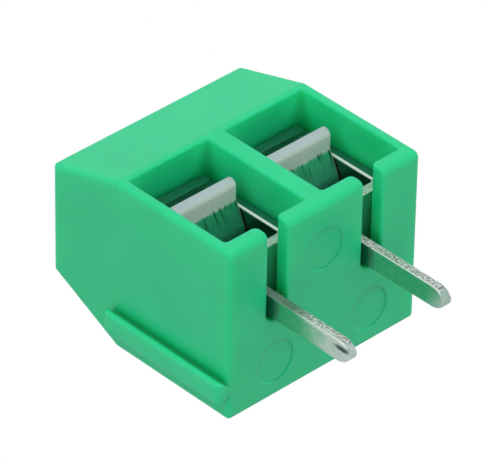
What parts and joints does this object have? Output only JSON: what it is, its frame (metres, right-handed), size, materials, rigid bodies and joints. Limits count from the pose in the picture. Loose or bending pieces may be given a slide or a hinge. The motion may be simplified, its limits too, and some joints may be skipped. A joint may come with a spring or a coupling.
{
  "type": "pcb screw terminal",
  "caption": "Board-mount screw terminal: moulded green housing with bent strip contacts, folded wire guards pressed down by clamp screws, and flat solder pins.",
  "frame": {"origin": "on the board face, midway between the two solder pins", "axes": "+Z from the board face up to the screws, -Y towards the wire entries, +Y towards the open back with the contact pockets, +X along the row towards the end with the rail"},
  "size_m": [0.0107, 0.008, 0.0142],
  "materials": {
    "housing_plastic": "satin moulded, mint green",
    "plated_contact": "dull tin plating",
    "guard_steel": "matte nickel plating, rolled streaks",
    "screw_steel": "bright zinc plating"
  },
  "bodies": {
    "housing": {"housing": "housing_plastic", "contact_1": "plated_contact", "contact_2": "plated_contact"},
    "guard_1": {"wire_guard_1": "guard_steel"},
    "screw_1": {"clamp_screw_1": "screw_steel"},
    "guard_2": {"wire_guard_2": "guard_steel"},
    "screw_2": {"clamp_screw_2": "screw_steel"}
  },
  "joints": [
    {"name": "guard_slide_1", "type": "slide", "parent": "housing", "child": "guard_1", "axis": [0, 0, -1], "range_m": [-0.0006, 0.00145]},
    {"name": "screw_turn_1", "type": "hinge", "parent": "guard_1", "child": "screw_1", "pos_m": [-0.00254, 0, 0.008], "axis": [0, 0, -1], "range_deg": [-481, 1161]},
    {"name": "guard_slide_2", "type": "slide", "parent": "housing", "child": "guard_2", "axis": [0, 0, -1], "range_m": [-0.0006, 0.00145]},
    {"name": "screw_turn_2", "type": "hinge", "parent": "guard_2", "child": "screw_2", "pos_m": [0.00254, 0, 0.008], "axis": [0, 0, -1], "range_deg": [-481, 1161]}
  ],
  "couplings": [
    {"joint": "screw_turn_1", "follows": "guard_slide_1", "rad_per_m": 13963},
    {"joint": "screw_turn_2", "follows": "guard_slide_2", "rad_per_m": 13963}
  ]
}
